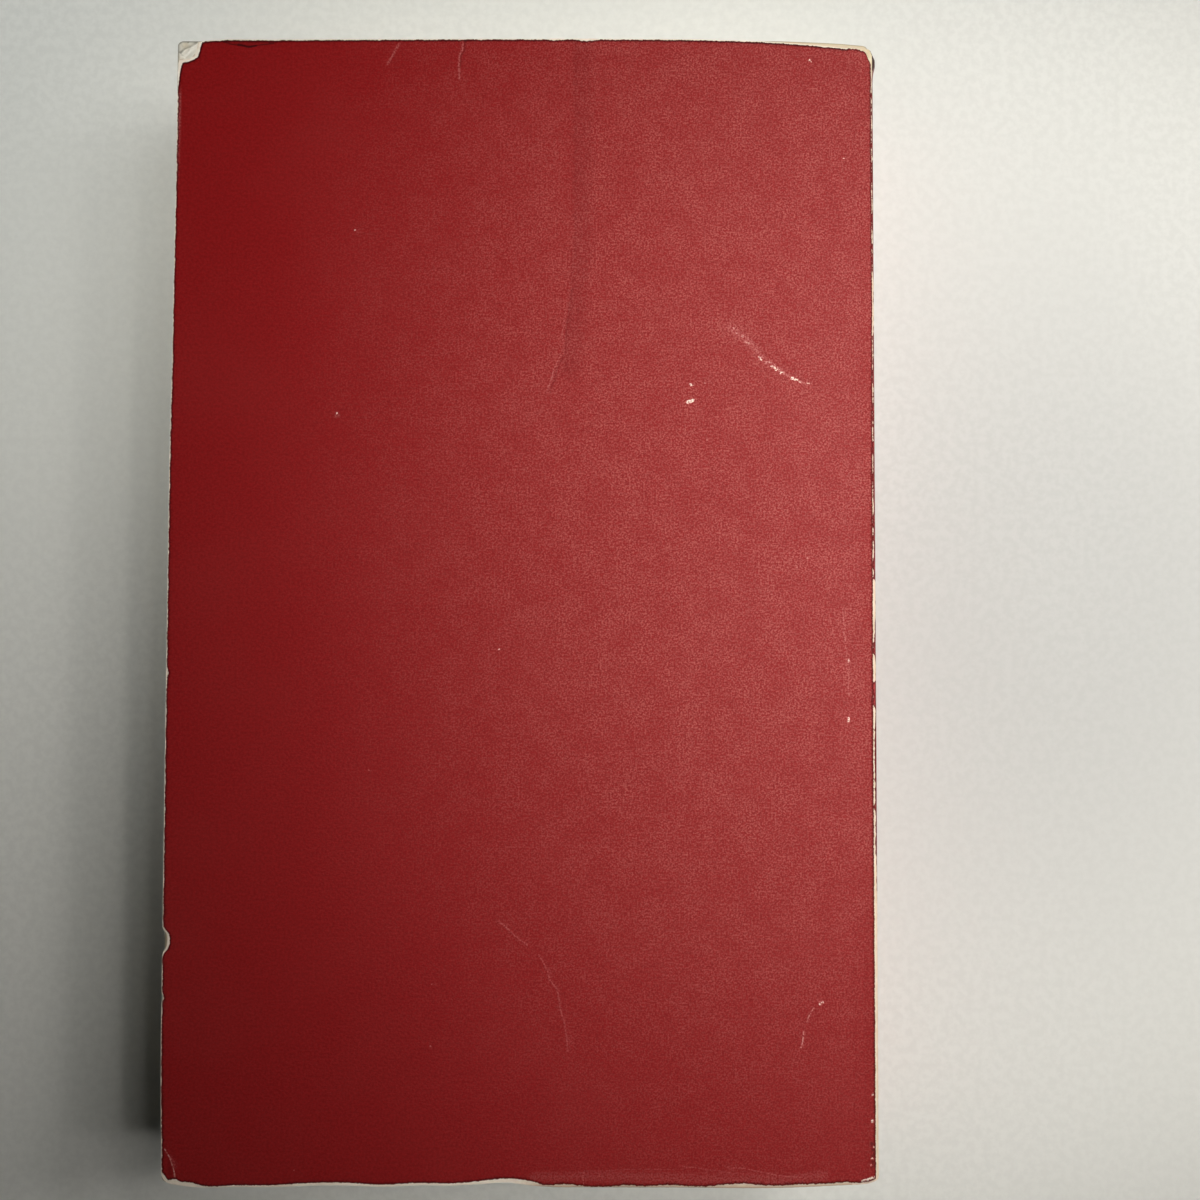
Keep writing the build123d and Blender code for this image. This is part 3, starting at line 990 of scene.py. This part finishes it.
def leaf_loop(level, leaf_shift):
    """One leaf's outline at a level from 0 to 1 up the block, with that leaf's own shifts."""
    worn = math.exp(-(1 - level) * (block_high.z - block_low.z) / WEAR_REACH)
    hollow = LEAF_HOLLOW * 4 * level * (1 - level)
    fore_x = block_low.x + 0.02 + 0.16 * worn + hollow + leaf_shift[0]
    tail_y = block_low.y + 0.08 + (LEAF_TAIL - block_low.y) * worn + leaf_shift[2]
    radius = 0.8 + 0.3 * leaf_shift[3]
    spine_radius = 0.3 + 0.6 * worn
    spine_x = block_high.x - 0.65
    turn = np.radians(np.linspace(0, 90, 7))
    tail_x = np.linspace(spine_x, fore_x + radius, 34)
    tail = np.stack([tail_x, tail_y + 0.03 * waver(tail_x, 31, 61)], 1)
    rounding = radius * np.stack([1 - np.sin(turn), 1 - np.cos(turn)], 1)
    corner_low = np.array([fore_x, tail_y]) + rounding
    head_x = np.linspace(fore_x + radius, spine_x - spine_radius, 34)
    head_y = worn * smooth_line(head_x, LEAF_HEAD) + (1 - worn) * (block_high.y - 0.02) - leaf_shift[1]
    fore_y = np.linspace(tail_y + radius, head_y[0] - radius, 56)[1:-1]
    fore = np.stack([fore_x + 0.12 * waver(fore_y, 70, 62) * (1 - abs(2 * level - 1)), fore_y], 1)
    corner_high = np.array([fore_x, head_y[0]]) + rounding[:, ::-1] * [1, -1]
    head = np.stack([head_x, head_y], 1)
    spine_corner = np.array([spine_x, head_y[-1]]) - spine_radius / radius * rounding
    return np.vstack([tail[:-1], corner_low, fore, corner_high, head[1:], spine_corner[1:]])


def make_leaves():
    """The page block: a stack of leaves, each trimmed and worn back a little differently."""
    rng = np.random.default_rng(71)
    bottom, top = block_low.z, block_high.z - TOP_LEAF_GAP
    thickness = (top - bottom) / LEAF_COUNT
    bundled = np.repeat(rng.uniform(0, 1, (LEAF_COUNT // BUNDLE + 1, 4)), BUNDLE, axis=0)[:LEAF_COUNT]
    single = rng.uniform(0, 1, (LEAF_COUNT, 4))
    shifts = (BUNDLE_SHARE * bundled + (1 - BUNDLE_SHARE) * single) * np.array([0.2, 0.2, 0.2, 1.0])
    rings = []
    for leaf in range(LEAF_COUNT):
        level = (leaf + 0.5) / LEAF_COUNT
        loop = leaf_loop(level, shifts[leaf])
        sway = 0.16 * math.sin(math.pi * level) * waver(loop[:, 1] + 0.4 * loop[:, 0], 90, 63)
        for height in (leaf, leaf + PAPER_SHARE):
            rings.append(np.column_stack([loop, bottom + height * thickness + sway]))
    rings = np.array(rings)
    ring_count, points = rings.shape[:2]
    vertices = rings.reshape(-1, 3)
    index = np.arange(ring_count * points).reshape(ring_count, points)
    following = np.roll(index, -1, axis=1)
    sides = np.stack([index[:-1], index[1:], following[1:], following[:-1]], -1).reshape(-1, 4)
    faces = [*sides, index[0], index[-1, ::-1]]
    made = new_mesh("leaves", vertices, faces, [PAPER], smooth_angle=40)
    set_attribute(made, "edge_tone", np.full(len(vertices), 0.8))
    set_attribute(made, "side", np.full(len(vertices), 1.0))
    return made


# The folds of the last leaf's crumpled corner: ridges lift and valleys sink
FOLD_ROWS = [
    ([(-51.8, 87.9), (-52.3, 87.5), (-53.4, 86.97), (-54.3, 86.35)], 0.14, 0, -0.1),
    ([(-52.7, 87.9), (-53.2, 87.6), (-53.7, 87.5)], 0.3, 0, 0.06),
    ([(-51.9, 86.9), (-52.6, 86.4), (-53.1, 85.8), (-53.7, 85.5)], 0.3, 0, 0.09),
    ([(-54.3, 86.35), (-53.95, 85.95), (-53.5, 85.5)], 0.11, 0, -0.1),
    ([(-54.35, 88), (-53.9, 87.3)], 0.1, 0, -0.08),
    ([(-53.2, 88.3), (-53, 87.6)], 0.09, 0, -0.07),
    ([(-52.7, 87.1), (-53, 86.6)], 0.09, 0, -0.06),
]
CORNER_FOLDS = [Mark(*row) for row in FOLD_ROWS]

# The middles of the crumpled corner, of its pale bare paper and of its yellow spot
CRUMPLED = (-53.4, 87.0)
PALE = (-53.2, 87.2)
YELLOWED = (-53.5, 87.5)


def reach(points, middle):
    """How far each point lies from a middle place."""
    return np.hypot(points[:, 0] - middle[0], points[:, 1] - middle[1])


def leaf_crumple(points):
    """The relief of the last leaf's crumpled corner, where the torn cover leaves it bare."""
    x, y = points.T
    near = share(2.2 - reach(points, CRUMPLED) / 1.6)
    relief = 0.05 * cloud(x, y, 0.5, 82) + 0.02 * cloud(x, y, 0.3, 85)
    for fold in CORNER_FOLDS:
        relief += fold.lift * hump(path_distance(points, fold.path), 0, fold.half_width)
    return near * relief


def make_last_leaf():
    """The last leaf, which shows in the torn corner and when the back cover opens."""
    loop = leaf_loop(1.0, np.array([-0.02, -0.03, 0.02, 0.0]))[::-1]
    fine = grid_points((FORE, 84.0), (-50.5, HEAD), FINE_STEP, 25)
    lines = inset_lines(np.vstack([loop, loop[:1]]), 0.6, (0.2, 0.6, 1.4, 2.6))
    flat, triangles = triangulate(loop, inner_points(loop, 3.0, 23, [fine] + lines, 0.05))
    x, y = flat.T
    edge = path_distance(flat, np.vstack([loop, loop[:1]]))
    z = block_high.z - 0.03 + np.clip(leaf_crumple(flat), -0.12, 0.2)
    made = card_mesh("last_leaf", flat, triangles, z, 0.09, True, [PAPER, PAPER])
    tone = share(0.75 * np.exp(-edge / 4.0) + 0.1 * cloud(x, y, 12, 83))
    bare = share(1.6 - reach(flat, PALE) / 2.5)
    tone = tone * (1 - bare) - 0.8 * bare + 0.75 * hump(reach(flat, YELLOWED), 0, 0.6)
    # A painted shadow runs along the leaf's outline and painted shade lies in the crumpled corner's
    # valleys; the bare patch also takes real dirt
    dirt = (0.55 + 0.3 * bare) * hump(edge, 0, 0.13 + 0.1 * bare)
    dirt += 0.5 * bare * share(-leaf_crumple(flat) / 0.1 - 0.3)
    dirt += 0.1 * bare * share(cloud(x, y, 0.5, 84))
    set_card_values(made, edge_tone=tone, dirt=share(dirt), side=np.zeros(len(flat)))
    return made


back = make_back_cover()
front = make_front_cover()
spine = make_spine_cover()
leaves = make_leaves()
last_leaf = make_last_leaf()
glue = make_glue()

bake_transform(back)
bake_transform(front)
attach(spine, "book_block")
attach(leaves, "book_block")
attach(last_leaf, "book_block")
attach(glue, "book_block")
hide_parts("back_cover")
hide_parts("front_cover")
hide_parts("spine_cover")
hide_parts("page_block")
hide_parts("spine_glue")


# The setting

DESK_HALF = 8000.0


def make_desk():
    """The pale desk top that the book lies on."""
    corners = [(x * DESK_HALF, y * DESK_HALF, 0) for x, y in ((-1, -1), (1, -1), (1, 1), (-1, 1))]
    desk = new_mesh("desk", corners, [(0, 1, 2, 3)], [desk_material()])


# Lamps and the camera are placed in metres, and their angles are in radians. A lamp with a ring is
# seven spots that share its power: one at its place and six on the ring. Only the key light gives
# sheen and shadow.
LAMP_FIELDS = "name place target half_angle power radius colour ring is_key"
Lamp = namedtuple("Lamp", LAMP_FIELDS, defaults=(0, False))

LAMPS = [
    Lamp("key", (0.505, 0.172, 0.675), (0.087, 0, 0), 0.214, 47.8, 0.07, (1.0, 0.97, 0.91), 0.199, True),
    Lamp("head_fill", (-1.057, 0.769, 0.751), (-0.153, 0.210, 0), 0.150, 96.0, 0.0505, (0.98, 1.0, 0.97)),
    Lamp("fore_fill", (-0.439, 0.348, 0.539), (-0.395, -0.298, 0), 0.270, 17.0, 0.0841, (1.0, 0.99, 0.93)),
]

# Two circles of spots light the desk beyond the book: radius, height, half angle and power. Each
# spot points straight down, but for a hair, which settles how it is turned about its own axis.
FAR_CIRCLES = [(0.62, 0.8, 0.5, 15.0), (1.6, 2.0, 0.63, 130.0)]
FAR_HAIR = 0.001
for circle, height, half_angle, power in FAR_CIRCLES:
    for turn in np.radians(range(0, 360, 45)):
        x, y = circle * math.cos(turn), circle * math.sin(turn)
        target = (x, y + FAR_HAIR, 0)
        LAMPS.append(Lamp("far_fill", (x, y, height), target, half_angle, power, 0.005, (1.0, 1.0, 0.96)))

SKY_COLOUR = (0.95, 1.0, 0.92, 1.0)
SKY_STRENGTH = 0.012

CAMERA_PLACE = (0.01082, -0.00497, 0.21110)
CAMERA_TURN = (0.03127, -0.00483, 0.00329)
CAMERA_LENS_MM = 36.03
CAMERA_SENSOR_MM = 36.0
CAMERA_NEAR = 0.01


def lamp_places(lamp):
    """Where a lamp's spots stand."""
    place = Vector(lamp.place)
    if not lamp.ring:
        return [place]
    axis = (Vector(lamp.target) - place).normalized()
    across = axis.cross(Vector((0, 1, 0))).normalized()
    up = axis.cross(across)
    turns = [math.radians(60 * step) for step in range(6)]
    return [place] + [place + lamp.ring * (math.cos(t) * across + math.sin(t) * up) for t in turns]


def add_spots(lamp):
    """Adds a lamp's spots, which all face its target."""
    places = lamp_places(lamp)
    for place in places:
        data = bpy.data.lights.new(lamp.name, "SPOT")
        data.energy = lamp.power / len(places)
        data.color = lamp.colour
        data.spot_size = 2 * lamp.half_angle
        data.spot_blend = 1.0
        data.shadow_soft_size = lamp.radius
        data.use_shadow = lamp.is_key
        light = bpy.data.objects.new(lamp.name, data)
        light.location = place
        light.rotation_euler = (Vector(lamp.target) - place).to_track_quat("-Z", "Y").to_euler()
        light.visible_glossy = lamp.is_key
        bpy.context.scene.collection.objects.link(light)


def light_scene():
    """Soft light from the spine's side that fades towards the tail of the fore-edge."""
    world = bpy.data.worlds.new("room")
    world.use_nodes = True
    sky = world.node_tree.nodes["Background"]
    sky.inputs["Color"].default_value = SKY_COLOUR
    sky.inputs["Strength"].default_value = SKY_STRENGTH
    bpy.context.scene.world = world
    for lamp in LAMPS:
        add_spots(lamp)


def place_camera():
    """The camera held just above the book, a little towards the spine."""
    data = bpy.data.cameras.new("camera")
    data.sensor_width = CAMERA_SENSOR_MM
    data.lens = CAMERA_LENS_MM
    data.clip_start = CAMERA_NEAR
    camera = bpy.data.objects.new("camera", data)
    camera.location = CAMERA_PLACE
    camera.rotation_euler = CAMERA_TURN
    bpy.context.scene.collection.objects.link(camera)
    bpy.context.scene.camera = camera


make_desk()
light_scene()
place_camera()
bpy.context.scene.view_settings.view_transform = "Standard"
